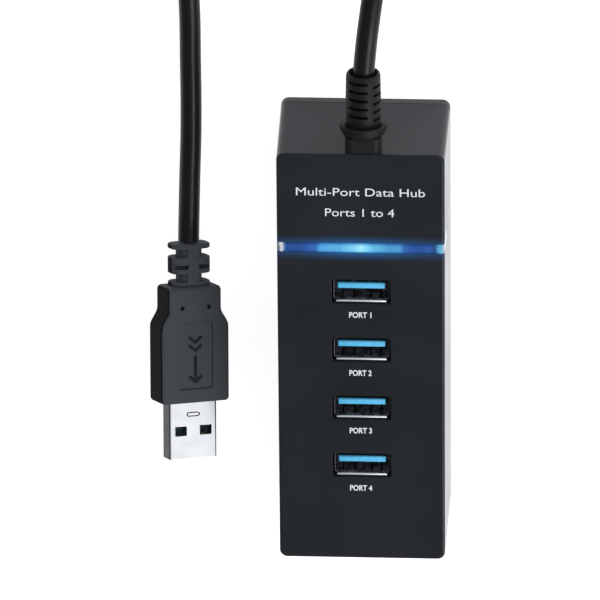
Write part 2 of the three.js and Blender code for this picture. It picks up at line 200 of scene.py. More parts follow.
def select_edges(obj, test):
    """Selects the edges whose middle and direction pass the test."""
    bpy.ops.mesh.select_mode(type="EDGE")
    bpy.ops.mesh.select_all(action="DESELECT")
    work = bmesh.from_edit_mesh(obj.data)
    for edge in work.edges:
        start, end = (vertex.co for vertex in edge.verts)
        if test((start + end) / 2, (end - start).normalized()):
            edge.select_set(True)
    bmesh.update_edit_mesh(obj.data)


def settle(obj, name):
    """Puts an object's place into its mesh and names it."""
    pick_only(obj)
    bpy.ops.object.transform_apply(location=True, rotation=True, scale=True)
    obj.name = name
    obj.data.name = name
    return obj


def block(name, low, high):
    low = Vector(low)
    high = Vector(high)
    bpy.ops.object.select_all(action="DESELECT")
    bpy.ops.mesh.primitive_cube_add(size=1, location=(low + high) / 2)
    obj = bpy.context.object
    obj.scale = high - low
    return settle(obj, name)


def round_block(name, low, high, radius, axis, segments=6):
    """A block whose four edges along one axis (0, 1 or 2) are rounded."""
    obj = block(name, low, high)
    with editing(obj):
        select_edges(obj, lambda middle, way: abs(way[axis]) > 0.99)
        bevel(radius, segments)
    return obj


def post(name, radius, at, z, vertices=32):
    bpy.ops.object.select_all(action="DESELECT")
    bpy.ops.mesh.primitive_cylinder_add(vertices=vertices, radius=radius, depth=z[1] - z[0],
                                        location=(at[0], at[1], (z[0] + z[1]) / 2))
    return settle(bpy.context.object, name)


def turned(name, stations, x, z, vertices=48):
    """A turned solid about a line along Y: stations are (y, radius) from one flat end to the other."""
    y, radius = stations[0]
    bpy.ops.object.select_all(action="DESELECT")
    bpy.ops.mesh.primitive_circle_add(vertices=vertices, radius=radius, fill_type="NGON",
                                      location=(x, y, z), rotation=(math.pi / 2, 0, 0))
    obj = settle(bpy.context.object, name)
    with editing(obj):
        bpy.ops.mesh.select_all(action="SELECT")
        for next_y, next_radius in stations[1:]:
            extrude(0, next_y - y, 0)
            ratio = next_radius / radius
            bpy.ops.transform.resize(value=(ratio, 1, ratio), center_override=(x, next_y, z))
            y, radius = next_y, next_radius
    return obj


def extrude(x, y, z):
    """Extrudes the selected faces by a move."""
    bpy.ops.mesh.extrude_region_move(TRANSFORM_OT_translate={"value": (x, y, z)})


def bevel(radius, segments):
    """Rounds the selected edges, or the edges of the selected faces."""
    bpy.ops.mesh.bevel(offset=radius, segments=segments, affect="EDGES")


def faces_out(obj):
    with editing(obj):
        bpy.ops.mesh.select_all(action="SELECT")
        bpy.ops.mesh.normals_make_consistent(inside=False)


def smooth(obj, degrees=35):
    pick_only(obj)
    bpy.ops.object.shade_smooth_by_angle(angle=math.radians(degrees))


def middle_y(node):
    """The middle of a CAD node along the hub's length."""
    low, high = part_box(node)
    return (low.y + high.y) / 2


def joined(name, *objects):
    pick_only(*objects)
    bpy.ops.object.join()
    obj = bpy.context.object
    obj.name = name
    obj.data.name = name
    return obj


def apply_modifier(obj, kind, **values):
    pick_only(obj)
    modifier = obj.modifiers.new(kind.title(), kind)
    for key, value in values.items():
        setattr(modifier, key, value)
    bpy.ops.object.modifier_apply(modifier=modifier.name)


def boolean(obj, other, operation="DIFFERENCE"):
    """Cuts obj with other, or joins them, and clears other away."""
    apply_modifier(obj, "BOOLEAN", operation=operation, solver="EXACT", object=other)
    bpy.data.objects.remove(other)


def copied(obj, name, move=(0, 0, 0)):
    """A copy with its own mesh, moved in its mesh."""
    twin = obj.copy()
    twin.data = obj.data.copy()
    twin.data.transform(Matrix.Translation(Vector(move)))
    twin.name = name
    twin.data.name = name
    bpy.context.scene.collection.objects.link(twin)
    return twin


def tidy_mesh(obj, smooth_angle=35):
    """Merges doubles, turns the faces out and shades the round parts smooth."""
    with editing(obj):
        bpy.ops.mesh.select_all(action="SELECT")
        bpy.ops.mesh.remove_doubles(threshold=0.002 * MM)
        bpy.ops.mesh.normals_make_consistent(inside=False)
    smooth(obj, smooth_angle)


def fine_edges(obj, width, segments=2, angle=50):
    apply_modifier(obj, "BEVEL", width=width, segments=segments, limit_method="ANGLE",
                   angle_limit=math.radians(angle))


def even_normals(obj):
    apply_modifier(obj, "WEIGHTED_NORMAL", mode="FACE_AREA", keep_sharp=True)


def completed(obj, width, smooth_angle, segments=2):
    """Breaks the cut edges, then cleans the mesh and evens its shading."""
    fine_edges(obj, width, segments)
    tidy_mesh(obj, smooth_angle)
    even_normals(obj)


def finished(obj, finish, slot, *nodes):
    """Gives a piece its finish and its place on the frame."""
    obj.data.materials.clear()
    obj.data.materials.append(finish)
    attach(obj, "root")
    if nodes:
        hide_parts(*nodes)
    return obj


def refinish(node, finish):
    """Gives a CAD node its finish."""
    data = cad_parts[node].data
    data.materials.clear()
    data.materials.append(finish)


# ---------------------------------------------------------------- finishes


SHADER_SOCKETS = {
    "colour": "Base Color", "roughness": "Roughness",
    "glow_colour": "Emission Color", "glow": "Emission Strength",
}


def new_finish(name):
    finish = bpy.data.materials.get(name)
    if finish:
        return finish, None, None
    finish = bpy.data.materials.new(name)
    finish.use_nodes = True
    return finish, finish.node_tree, finish.node_tree.nodes["Principled BSDF"]


def noise(tree, coordinates, scale, detail=3.0, roughness=0.55):
    node = tree.nodes.new("ShaderNodeTexNoise")
    node.inputs["Scale"].default_value = scale
    node.inputs["Detail"].default_value = detail
    node.inputs["Roughness"].default_value = roughness
    tree.links.new(coordinates, node.inputs["Vector"])
    return node.outputs["Fac"]


def spread(tree, value, low, high, from_low=0.3, from_high=0.7):
    """A value from low to high as the input goes from from_low to from_high."""
    node = tree.nodes.new("ShaderNodeMapRange")
    node.inputs["From Min"].default_value = from_low
    node.inputs["From Max"].default_value = from_high
    node.inputs["To Min"].default_value = low
    node.inputs["To Max"].default_value = high
    tree.links.new(value, node.inputs["Value"])
    return node.outputs["Result"]


def maths(tree, operation, first, second=None):
    node = tree.nodes.new("ShaderNodeMath")
    node.operation = operation
    for socket, value in zip(node.inputs, (first, second)):
        if value is None:
            continue
        if isinstance(value, (int, float)):
            socket.default_value = value
        else:
            tree.links.new(value, socket)
    return node.outputs["Value"]


def blend_colour(tree, factor, first, second):
    node = tree.nodes.new("ShaderNodeMix")
    node.data_type = "RGBA"
    tree.links.new(factor, node.inputs["Factor"])
    for socket, value in ((node.inputs["A"], first), (node.inputs["B"], second)):
        if isinstance(value, bpy.types.NodeSocket):
            tree.links.new(value, socket)
        else:
            socket.default_value = (*value, 1.0)
    return node.outputs["Result"]


def object_place(tree):
    return tree.nodes.new("ShaderNodeTexCoord").outputs["Object"]


def drive(tree, shader, **sockets):
    """Links values to the shader's colour, roughness or glow."""
    for name, value in sockets.items():
        tree.links.new(value, shader.inputs[SHADER_SOCKETS[name]])


def bump(tree, shader, height, distance, strength=1.0):
    node = tree.nodes.new("ShaderNodeBump")
    node.inputs["Strength"].default_value = strength
    node.inputs["Distance"].default_value = distance
    tree.links.new(height, node.inputs["Height"])
    tree.links.new(node.outputs["Normal"], shader.inputs["Normal"])


def grained(name, base, darker, roughness, grain, depth, cloud=60.0, shine=0.5):
    """A moulded finish: a fine grain in the surface and slow changes of tone and gloss."""
    finish, tree, shader = new_finish(name)
    if tree is None:
        return finish
    place = object_place(tree)
    slow = noise(tree, place, cloud)
    tone = blend_colour(tree, spread(tree, slow, 0.0, 1.0), darker, base)
    drive(tree, shader, colour=tone, roughness=spread(tree, slow, *roughness))
    shader.inputs["Specular IOR Level"].default_value = shine
    bump(tree, shader, noise(tree, place, grain, 2.0), depth)
    return finish


def shaded(value, factor):
    return tuple(channel * factor for channel in value)


def parted(tree, place):
    """The three coordinates of a place."""
    split = tree.nodes.new("ShaderNodeSeparateXYZ")
    tree.links.new(place, split.inputs["Vector"])
    return split.outputs


def housing_finish(colours):
    """Gloss black plastic with a painted blue glow beside the light bar, in place of the bar's spilt light.
    """
    finish, tree, shader = new_finish("housing_plastic")
    if tree is None:
        return finish
    place = object_place(tree)
    slow = noise(tree, place, 45)
    base = tuple(colours.plastic)
    tone = blend_colour(tree, spread(tree, slow, 0.0, 1.0), shaded(base, 0.85), shaded(base, 1.1))
    drive(tree, shader, colour=tone, roughness=spread(tree, slow, 0.15, 0.21))
    shader.inputs["Specular IOR Level"].default_value = 0.08
    bump(tree, shader, noise(tree, place, 5200, 1.0), 0.0015 * MM, 0.4)
    # Painted light: a blue glow on the plastic near the bar, strongest at the top face and towards the
    # middle.
    axes = parted(tree, place)
    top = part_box("top_shell")[1].z
    away = maths(tree, "ABSOLUTE", maths(tree, "SUBTRACT", axes["Y"], middle_y("light_bar")))
    near = spread(tree, away, 1.0, 0.0, 1.0 * MM, 3.6 * MM)
    near = maths(tree, "POWER", near, 1.7)
    side = spread(tree, maths(tree, "ABSOLUTE", axes["X"]), 1.0, 0.4, 3 * MM, 15 * MM)
    lift = spread(tree, axes["Z"], 0.0, 1.0, top - 1.5 * MM, top - 0.5 * MM)
    glow = maths(tree, "MULTIPLY", maths(tree, "MULTIPLY", near, side), lift)
    shader.inputs["Emission Color"].default_value = (0.006, 0.105, 0.32, 1.0)
    drive(tree, shader, glow=glow)
    return finish


def grip_finish(colours):
    base = shaded(tuple(colours.grip), 1.22)
    return grained("grip_rubber", base, shaded(base, 0.88), (0.55, 0.68), 3800, 0.004 * MM, shine=0.04)


# A copy of the grip rubber darkened to 0.12 of its colour: painted shade for the grip's left side.
def grip_shade_finish(colours):
    base = shaded(tuple(colours.grip), 0.12)
    return grained("grip_rubber_painted_shade", base, shaded(base, 0.8), (0.6, 0.7), 3800, 0.004 * MM, shine=0.03)


def boot_finish(colours):
    base = tuple(colours.boot)
    return grained("boot_rubber", base, shaded(base, 0.75), (0.46, 0.56), 3800, 0.004 * MM, shine=0.12)


def jacket_finish(colours):
    base = tuple(colours.jacket)
    return grained("lead_jacket", base, shaded(base, 0.8), (0.3, 0.36), 2600, 0.003 * MM, shine=0.14)


def cover_finish(colours):
    base = tuple(colours.plastic)
    return grained("cover_plastic", shaded(base, 1.4), shaded(base, 1.2), (0.3, 0.38), 4200,
                   0.004 * MM, shine=0.16)


def steel_finish(colours, name="nickel_plated_steel", roughness=(0.16, 0.26), lines=2400.0, tone=1.0):
    """Bright plated steel with faint rolling lines."""
    finish, tree, shader = new_finish(name)
    if tree is None:
        return finish
    place = object_place(tree)
    mapping = tree.nodes.new("ShaderNodeMapping")
    mapping.inputs["Scale"].default_value = (1.0, 0.06, 0.06)
    tree.links.new(place, mapping.inputs["Vector"])
    lines_height = noise(tree, mapping.outputs["Vector"], lines, 2.0)
    slow = noise(tree, place, 220)
    base = shaded(tuple(colours.steel), tone)
    clouded = blend_colour(tree, spread(tree, slow, 0.0, 1.0), shaded(base, 0.9), base)
    drive(tree, shader, colour=clouded)
    shader.inputs["Metallic"].default_value = 1.0
    drive(tree, shader, roughness=spread(tree, slow, *roughness))
    bump(tree, shader, lines_height, 0.002 * MM, 0.12)
    return finish


def painted_depth_shade(tree, place, finish_colour, dim, low, high):
    """A colour that dims with depth between two heights: painted shade, as inside a socket."""
    depth = spread(tree, parted(tree, place)["Z"], 0.0, 1.0, low, high)
    return blend_colour(tree, depth, shaded(finish_colour, dim), finish_colour)


def port_steel_finish(colours):
    """Bright nickel on the mouth's long lips, with painted shade that darkens its ends and dims it down in
    the socket, and a faint painted glow down there.
    """
    finish, tree, shader = new_finish("port_steel")
    if tree is None:
        return finish
    place = object_place(tree)
    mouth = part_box("port_1_shell")[1].z
    # Painted shade: the steel darkens with depth below the mouth.
    tone = painted_depth_shade(tree, place, tuple(colours.steel), 0.28, mouth - 0.44 * MM, mouth - 0.34 * MM)
    axes = parted(tree, place)
    # Painted shade: the shell's short end walls are darkened almost to black.
    sides = spread(tree, maths(tree, "ABSOLUTE", axes["X"]), 0.0, 1.0, 5.95 * MM, 6.15 * MM)
    tone = blend_colour(tree, sides, tone, shaded(tuple(colours.steel), 0.06))
    drive(tree, shader, colour=tone)
    shader.inputs["Metallic"].default_value = 1.0
    slow = noise(tree, place, 400)
    # Painted light: faint noisy glints glow on the steel down in the socket.
    painted_glints = spread(tree, noise(tree, place, 620, 1.0), 0.35, 1.5, 0.42, 0.62)
    down = spread(tree, axes["Z"], 0.45, 1.3, mouth - 1.9 * MM, mouth - 0.9 * MM)
    deep = spread(tree, axes["Z"], 1.0, 0.0, mouth - 0.62 * MM, mouth - 0.5 * MM)
    shader.inputs["Emission Color"].default_value = (0.021, 0.022, 0.028, 1.0)
    glow = maths(tree, "MULTIPLY", maths(tree, "MULTIPLY", painted_glints, down), deep)
    drive(tree, shader, glow=glow)
    drive(tree, shader, roughness=spread(tree, slow, 0.2, 0.32))
    bump(tree, shader, noise(tree, place, 2400, 2.0), 0.002 * MM, 0.4)
    return finish


def tongue_finish(colours):
    """Blue moulded plastic, with a painted highlight glowing at the tip and painted shade that dims it down
    in the socket.
    """
    finish, tree, shader = new_finish("blue_insulator")
    if tree is None:
        return finish
    place = object_place(tree)
    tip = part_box("port_1_insulator")[1].z
    # Painted shade: the blue darkens with depth below the tip.
    tone = painted_depth_shade(tree, place, tuple(colours.tongue), 0.06, tip - 0.45 * MM, tip - 0.03 * MM)
    speck = noise(tree, place, 900)
    shade = spread(tree, speck, 0.9, 1.05)
    scale = tree.nodes.new("ShaderNodeVectorMath")
    scale.operation = "SCALE"
    tree.links.new(tone, scale.inputs["Vector"])
    tree.links.new(shade, scale.inputs["Scale"])
    drive(tree, shader, colour=scale.outputs["Vector"])
    drive(tree, shader, roughness=spread(tree, speck, 0.34, 0.44))
    # Painted highlight: a blue glow over the top of the tip.
    shader.inputs["Emission Color"].default_value = (0.0, 0.06, 0.12, 1.0)
    lit = spread(tree, parted(tree, place)["Z"], 0.0, 1.0, tip - 0.12 * MM, tip)
    drive(tree, shader, glow=lit)
    bump(tree, shader, noise(tree, place, 3000, 2.0), 0.002 * MM)
    return finish


def plug_insulator_finish(colours):
    base = shaded(tuple(colours.tongue), 0.06)
    return grained("plug_insulator", base, shaded(base, 0.8), (0.4, 0.5), 3000, 0.002 * MM, 300.0)


def gold_finish():
    finish, tree, shader = new_finish("gold_plated_contact")
    if tree is None:
        return finish
    place = object_place(tree)
    slow = noise(tree, place, 500)
    tone = blend_colour(tree, spread(tree, slow, 0.0, 1.0), (0.72, 0.46, 0.13), (0.86, 0.60, 0.22))
    drive(tree, shader, colour=tone)
    shader.inputs["Metallic"].default_value = 1.0
    drive(tree, shader, roughness=spread(tree, slow, 0.18, 0.3))
    return finish


def ink_finish(colours):
    base = tuple(colours.ink)
    finish, tree, shader = new_finish("legend_ink")
    if tree is None:
        return finish
    place = object_place(tree)
    speck = noise(tree, place, 2500, 2.0)
    tone = blend_colour(tree, spread(tree, speck, 0.0, 1.0, 0.25, 0.5), shaded(base, 0.85), base)
    drive(tree, shader, colour=tone, roughness=spread(tree, speck, 0.45, 0.6))
    # Painted light: a faint glow in the ink's own colour brightens the print.
    shader.inputs["Emission Color"].default_value = (*base, 1.0)
    shader.inputs["Emission Strength"].default_value = 0.12
    return finish


def light_finish():
    """Lit acrylic: pale over the diode, deep blue to the sides and edges; at the clear wrapped ends the pale
    grey glow is a painted highlight.
    """
    finish, tree, shader = new_finish("lit_acrylic")
    if tree is None:
        return finish
    place = object_place(tree)
    axes = parted(tree, place)
    low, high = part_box("light_bar")
    across = maths(tree, "ADD", maths(tree, "DIVIDE", axes["X"], high.x - low.x), 0.5)
    streak = noise(tree, place, 900, 3.0, 0.7)
    wander = spread(tree, streak, -0.006, 0.006)
    ramp = tree.nodes.new("ShaderNodeValToRGB")
    deep = (0.020, 0.071, 0.28)
    sky = (0.082, 0.356, 0.71)
    # The grey and pale stops at both ends of the ramp paint highlights on the clear wrapped ends; the rest is
    # the bar's own light.
    stops = (
        (0.0, (0.10, 0.10, 0.11)), (0.016, (0.16, 0.16, 0.17)), (0.022, (0.62, 0.63, 0.65)),
        (0.037, (0.60, 0.61, 0.64)), (0.045, (0.05, 0.18, 0.40)), (0.058, deep), (0.142, deep),
        (0.185, (0.026, 0.10, 0.39)), (0.234, (0.036, 0.138, 0.44)), (0.262, sky),
        (0.377, (0.107, 0.456, 0.78)), (0.43, (0.17, 0.59, 0.87)), (0.474, (0.26, 0.73, 0.95)),
        (0.50, (0.40, 0.86, 1.0)),
        (0.526, (0.26, 0.73, 0.95)), (0.575, (0.13, 0.515, 0.82)), (0.66, (0.078, 0.328, 0.64)),
        (0.732, (0.074, 0.319, 0.61)), (0.757, (0.034, 0.133, 0.41)), (0.812, (0.021, 0.078, 0.35)),
        (0.85, deep), (0.897, (0.025, 0.095, 0.38)), (0.94, (0.02, 0.07, 0.2)),
        (0.966, (0.11, 0.42, 0.72)), (0.982, (0.16, 0.42, 0.62)), (0.994, (0.46, 0.50, 0.54)),
    )
    elements = ramp.color_ramp.elements
    while len(elements) < len(stops):
        elements.new(0.5)
    for element, (position, value) in zip(elements, stops):
        element.position = position
        element.color = (*value, 1.0)
    tree.links.new(maths(tree, "ADD", across, wander), ramp.inputs["Fac"])
    away = maths(tree, "ABSOLUTE", maths(tree, "SUBTRACT", axes["Y"], middle_y("light_bar")))
    core = spread(tree, away, 1.0, 0.0, 0.5 * MM, 1.25 * MM)
    ends = spread(tree, maths(tree, "ABSOLUTE", axes["X"]), 0.0, 1.0, 17.4 * MM, 18.2 * MM)
    core = maths(tree, "MAXIMUM", core, ends)
    edge = tree.nodes.new("ShaderNodeVectorMath")
    edge.operation = "MULTIPLY"
    edge.inputs[1].default_value = (0.25, 0.38, 0.58)
    tree.links.new(ramp.outputs["Color"], edge.inputs[0])
    light = blend_colour(tree, core, edge.outputs["Vector"], ramp.outputs["Color"])
    shader.inputs["Base Color"].default_value = (0.006, 0.014, 0.035, 1.0)
    shader.inputs["Specular IOR Level"].default_value = 0.2
    drive(tree, shader, roughness=spread(tree, streak, 0.14, 0.24))
    drive(tree, shader, glow_colour=light)
    drive(tree, shader, glow=spread(tree, streak, 0.86, 1.1))
    return finish


# ---------------------------------------------------------------- stage


def studio_world():
    """A pale studio that is bright to the right and beyond the lead's end, and dim above."""
    world = bpy.data.worlds.new("studio")
    bpy.context.scene.world = world
    world.use_nodes = True
    tree = world.node_tree
    background = tree.nodes["Background"]
    direction = tree.nodes.new("ShaderNodeTexCoord").outputs["Generated"]
    split = tree.nodes.new("ShaderNodeSeparateXYZ")
    tree.links.new(direction, split.inputs["Vector"])
    right = spread(tree, split.outputs["X"], 0.0, 0.86, 0.05, 0.6)
    far = spread(tree, split.outputs["Y"], 0.0, 0.38, -0.2, 0.6)
    total = maths(tree, "ADD", maths(tree, "ADD", right, far), 0.26)
    background.inputs["Color"].default_value = (0.96, 0.985, 1.02, 1.0)
    tree.links.new(maths(tree, "MINIMUM", total, 1.15), background.inputs["Strength"])


def soft_light(name, place, size, power):
    bpy.ops.object.select_all(action="DESELECT")
    bpy.ops.object.light_add(type="AREA", location=place)
    light = bpy.context.object
    light.name = name
    light.data.shape = "RECTANGLE"
    light.data.size = size[0]
    light.data.size_y = size[1]
    light.data.energy = power
    light.rotation_euler = (-Vector(place)).to_track_quat("-Z", "Y").to_euler()


class HUB_OT_stage(Operator):
    """Set up the pale floor, the soft lights and the camera"""

    bl_idname = "hub.stage"
    bl_label = "Stage"

    def execute(self, context):
        scene = context.scene
        scene.view_settings.view_transform = "Standard"
        self.floor()
        studio_world()
        soft_light("soft_box_far", (0.9, 1.5, 1.7), (1.6, 1.6), 5)
        soft_light("soft_box_right", (1.2, -1.06, 1.66), (0.6, 1.2), 24)
        self.camera(scene)
        return {"FINISHED"}

    def floor(self):
        bpy.ops.object.select_all(action="DESELECT")
        bpy.ops.mesh.primitive_plane_add(size=12, location=(0, 0, -FLOOR_DROP * MM))
        floor = settle(bpy.context.object, "studio_floor")
        finish, tree, shader = new_finish("pale_floor")
        if tree:
            cloud = spread(tree, noise(tree, object_place(tree), 3), 0.0, 1.0)
            tone = blend_colour(tree, cloud, (0.55, 0.55, 0.555), (0.58, 0.58, 0.585))
            drive(tree, shader, colour=tone)
            shader.inputs["Roughness"].default_value = 0.85
            shader.inputs["Specular IOR Level"].default_value = 0.1
            shader.inputs["Emission Color"].default_value = (1.0, 1.0, 1.0, 1.0)
            shader.inputs["Emission Strength"].default_value = FLOOR_GLOW
        floor.data.materials.append(finish)

    def camera(self, scene):
        """Looks down on the top face from the lead's side, a little from the right, lead at the top."""
        lean = math.radians(27.5)
        aside = math.radians(2.79)
        turn = math.radians(0.5)
        distance = 2.3
        level = math.cos(aside)
        towards = Vector((math.sin(aside), level * math.sin(lean), level * math.cos(lean)))
        level_up = (Vector((0, 1, 0)) - towards * towards.y).normalized()
        level_right = level_up.cross(towards)
        up = level_up * math.cos(turn) + level_right * math.sin(turn)
        right = level_right * math.cos(turn) - level_up * math.sin(turn)
        place = towards * distance - right * 15.77 * MM + up * 0.11 * MM
        bpy.ops.object.camera_add()
        camera = bpy.context.object
        camera.name = "camera"
        turned_axes = Matrix((right, up, towards)).transposed().to_4x4()
        camera.matrix_world = Matrix.Translation(place) @ turned_axes
        camera.data.lens = 586.3
        camera.data.sensor_width = 36
        camera.data.clip_start = 0.05
        camera.data.clip_end = 30
        scene.camera = camera


# ---------------------------------------------------------------- lead and strain relief


class HUB_OT_lead(Operator):
    """Lay the lead along its route from the strain relief to the plug"""

    bl_idname = "hub.lead"
    bl_label = "Lead"

    def execute(self, context):
        settings = context.scene.usb_hub
        curve = bpy.data.curves.new("lead", "CURVE")
        curve.dimensions = "3D"
        spline = curve.splines.new("BEZIER")
        spline.bezier_points.add(len(LEAD_ROUTE) - 1)
        for point, place in zip(spline.bezier_points, LEAD_ROUTE):
            point.co = Vector(place) * MM
            point.handle_left_type = "AUTO"
            point.handle_right_type = "AUTO"
        spline.resolution_u = 12
        curve.bevel_depth = settings.lead.diameter / 2
        curve.bevel_resolution = 8
        curve.use_fill_caps = True
        lead = bpy.data.objects.new("lead", curve)
        context.scene.collection.objects.link(lead)
        finished(lead, jacket_finish(settings.colours), "cord", "lead_cord")
        return {"FINISHED"}


class HUB_OT_strain_relief(Operator):
    """Model the strain relief: inner flange, neck, cupped collar, slotted sleeve and flared mouth"""

    bl_idname = "hub.strain_relief"
    bl_label = "Strain Relief"

    def execute(self, context):
        settings = context.scene.usb_hub
        low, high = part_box("strain_relief")
        x = (low.x + high.x) / 2
        z = high.z - COLLAR_RADIUS * MM
        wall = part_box("top_shell")[1].y
        end = high.y
        relief = self.sleeve(x, z, wall, end)
        self.cut_slots(relief, x, z, end)
        boolean(relief, self.collar(x, z, wall + 6.1 * MM), "UNION")
        boolean(relief, self.neck(x, z, wall), "UNION")
        through = round_block("through", (x - 3.2 * MM, low.y + 1 * MM, z - 2.8 * MM),
                              (x + 3.2 * MM, wall + 2 * MM, z + 2.2 * MM), 1.2 * MM, 1)
        boolean(relief, through, "UNION")
        flange = round_block("flange", (low.x + 0.05 * MM, low.y, z - 3.0 * MM),
                             (high.x - 0.05 * MM, low.y + 2 * MM, z + 2.4 * MM), 1.2 * MM, 1)
        boolean(relief, flange, "UNION")
        completed(relief, 0.1 * MM, 32)
        finished(relief, boot_finish(settings.colours), "boot", "strain_relief")
        return {"FINISHED"}

    def sleeve(self, x, z, wall, end):
        cord = bpy.context.scene.usb_hub.lead.diameter / 2
        stations = (
            (wall + 2.0 * MM, 3.9 * MM), (wall + 3.5 * MM, 4.05 * MM), (end - 7.0 * MM, 4.1 * MM),
            (end - 1.5 * MM, 4.0 * MM), (end - 0.6 * MM, 3.95 * MM), (end - 0.2 * MM, 3.8 * MM),
            (end, 3.5 * MM), (end - 0.1 * MM, 3.25 * MM), (end - 0.7 * MM, cord + 0.5 * MM),
            (end - 1.9 * MM, cord + 0.12 * MM),
        )
        return turned("strain_relief_body", stations, x, z, 64)

    def collar(self, x, z, rim):
        """A collar that flares out from the neck and ends in a shallow cup, on the upper half only."""
        stations = (
            (rim - 3.3 * MM, 4.3 * MM), (rim - 3.1 * MM, 4.6 * MM), (rim - 2.1 * MM, 5.25 * MM),
            (rim - 1.5 * MM, 5.48 * MM), (rim - 0.3 * MM, COLLAR_RADIUS * MM), (rim, 5.38 * MM),
            (rim - 0.15 * MM, 5.1 * MM), (rim - 0.5 * MM, 4.6 * MM), (rim - 0.85 * MM, 3.95 * MM),
        )
        collar = turned("collar", stations, x, z, 64)
        boolean(collar, block("lower_half", (-BEYOND * MM, 0, 0), (BEYOND * MM, 90 * MM, z - 0.35 * MM)))
        return collar

    def cut_slots(self, relief, x, z, end):
        """Two facing bending slots to a row, each row turned a quarter from the last."""
        cutters = []
        for row in range(SLOT_ROWS):
            y = end - 1.45 * MM - SLOT_PITCH * MM * row
            for side in (0, 180):
                angle = math.radians(-18 + side + 90 * (row % 2))
                slot = round_block("slot", (-2.4 * MM, y - 0.38 * MM, 3.0 * MM),
                                   (2.4 * MM, y + 0.38 * MM, 6 * MM), 0.36 * MM, 2, 4)
                slot.data.transform(Matrix.Translation((x, 0, z)) @ Matrix.Rotation(angle, 4, "Y"))
                cutters.append(slot)
        boolean(relief, joined("slots", *cutters))

    def neck(self, x, z, wall):
        half = 4.15 * MM
        neck = block("neck", (x - half, wall - 0.2 * MM, z + 0.15 * MM - half),
                     (x + half, wall + 3.4 * MM, z + 0.25 * MM + half))
        with editing(neck):
            select_edges(neck, lambda middle, way: abs(way.y) > 0.99)
            bevel(1.7 * MM, 8)
        return neck


# ---------------------------------------------------------------- housing


def drafted_block(name, low, high, settings, round_top, round_bottom=0.0):
    """A block that narrows towards the top, with upright corners and the top or bottom rim rounded."""
    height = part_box("top_shell")[1].z
    ease = settings.draft * (high.z - low.z) / height
    obj = block(name, low, high)
    with editing(obj):
        select_faces(obj, lambda centre, normal: normal.z > 0.99)
        bpy.ops.transform.resize(value=(1 - ease / high.x, 1 - ease / high.y, 1),
                                 center_override=(0, 0, high.z))
        select_edges(obj, lambda middle, way: abs(way.z) > 0.99)
        bevel(settings.corner, 10)
    for rim, radius in ((high.z, round_top), (low.z, round_bottom)):
        if radius:
            round_rim(obj, rim, radius)
    return obj


def round_rim(obj, level, radius):
    """Rounds a rim along the long sides and a little less across the ends."""
    weights = obj.data.attributes.get("bevel_weight_edge")
    if weights is None:
        weights = obj.data.attributes.new("bevel_weight_edge", "FLOAT", "EDGE")
    for edge in obj.data.edges:
        start, end = (obj.data.vertices[index].co for index in edge.vertices)
        on_rim = abs(start.z - level) < 0.01 * MM and abs(end.z - level) < 0.01 * MM
        along = abs((end - start).normalized().y)
        weights.data[edge.index].value = 0.8 + 0.2 * along if on_rim else 0.0
    apply_modifier(obj, "BEVEL", width=radius, segments=6, limit_method="WEIGHT")


def screw_places():
    """The four screw axes, read from the frame."""
    places = []
    for index in range(1, 5):
        low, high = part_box(f"cover_screw_{index}")
        places.append(((low.x + high.x) / 2, (low.y + high.y) / 2))
    return places


class HUB_OT_top_shell(Operator):
    """Model the top shell: rounded outside, hollow inside, windows, light bar groove and screw bosses"""

    bl_idname = "hub.top_shell"
    bl_label = "Top Shell"

    def execute(self, context):
        settings = context.scene.usb_hub
        housing = settings.housing
        low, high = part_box("top_shell")
        low.z -= 0.08 * MM
        shell = drafted_block("top_shell_body", low, high, housing, housing.long_edge)
        wall = housing.side_wall
        ceiling = high.z - housing.face_wall
        inside = round_block("inside", (-high.x + wall, -high.y + wall, low.z - 5 * MM),
                             (high.x - wall, high.y - wall, ceiling), 1.0 * MM, 2)
        boolean(shell, inside)
        self.add_bosses(shell, ceiling)
        self.cut_windows(shell, settings.port, high.z)
        self.cut_groove(shell, housing, high)
        self.cut_lead_hole(shell, high.y)
        completed(shell, housing.fine_edge, 30)
        finished(shell, housing_finish(settings.colours), "housing", "top_shell")
        return {"FINISHED"}

    def add_bosses(self, shell, ceiling):
        board_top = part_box("circuit_board")[1].z
        rise = (board_top + 0.1 * MM, ceiling + 0.5 * MM)
        bosses = [post("boss", 2.8 * MM, at, rise) for at in screw_places()]
        boolean(shell, joined("bosses", *bosses), "UNION")
        rise = (board_top - 1 * MM, 18.5 * MM)
        pilots = [post("pilot", PILOT_RADIUS * MM, at, rise) for at in screw_places()]
        boolean(shell, joined("pilots", *pilots))

    def cut_windows(self, shell, port, top):
        cutters = []
        half_x = port.window_x / 2
        half_y = port.window_y / 2
        for name in PORT_NAMES:
            y = middle_y(f"{name}_shell")
            cutters.append(round_block("window", (-half_x, y - half_y, top - 8 * MM),
                                       (half_x, y + half_y, top + 5 * MM), 0.45 * MM, 2, 4))
        boolean(shell, joined("windows", *cutters))

    def cut_groove(self, shell, housing, high):
        low_bar, high_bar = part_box("light_bar")
        near = low_bar.y - 0.12 * MM
        far = high_bar.y + 0.12 * MM
        floor = high.z - housing.groove
        inner = high.x - 2 * housing.draft - housing.groove + 0.2 * MM
        foot = high.z - 9.15 * MM
        boolean(shell, block("across", (-BEYOND * MM, near, floor), (BEYOND * MM, far, high.z + 5 * MM)))
        for side in (-1, 1):
            ends = sorted((side * inner, side * BEYOND * MM))
            boolean(shell, block("down", (ends[0], near, foot), (ends[1], far, high.z + 5 * MM)))
        middle = middle_y("light_bar")
        boolean(shell, block("guide_slot", (-13.3 * MM, middle - 1 * MM, high.z - 4 * MM),
                             (13.3 * MM, middle + 1 * MM, high.z)))

    def cut_lead_hole(self, shell, end):
        low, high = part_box("strain_relief")
        x = (low.x + high.x) / 2
        z = high.z - 5.7 * MM
        boolean(shell, round_block("lead_hole", (x - 3.5 * MM, end - 8 * MM, z - 2.8 * MM),
                                   (x + 3.5 * MM, end + 5 * MM, z + 2.8 * MM), 1.4 * MM, 1))


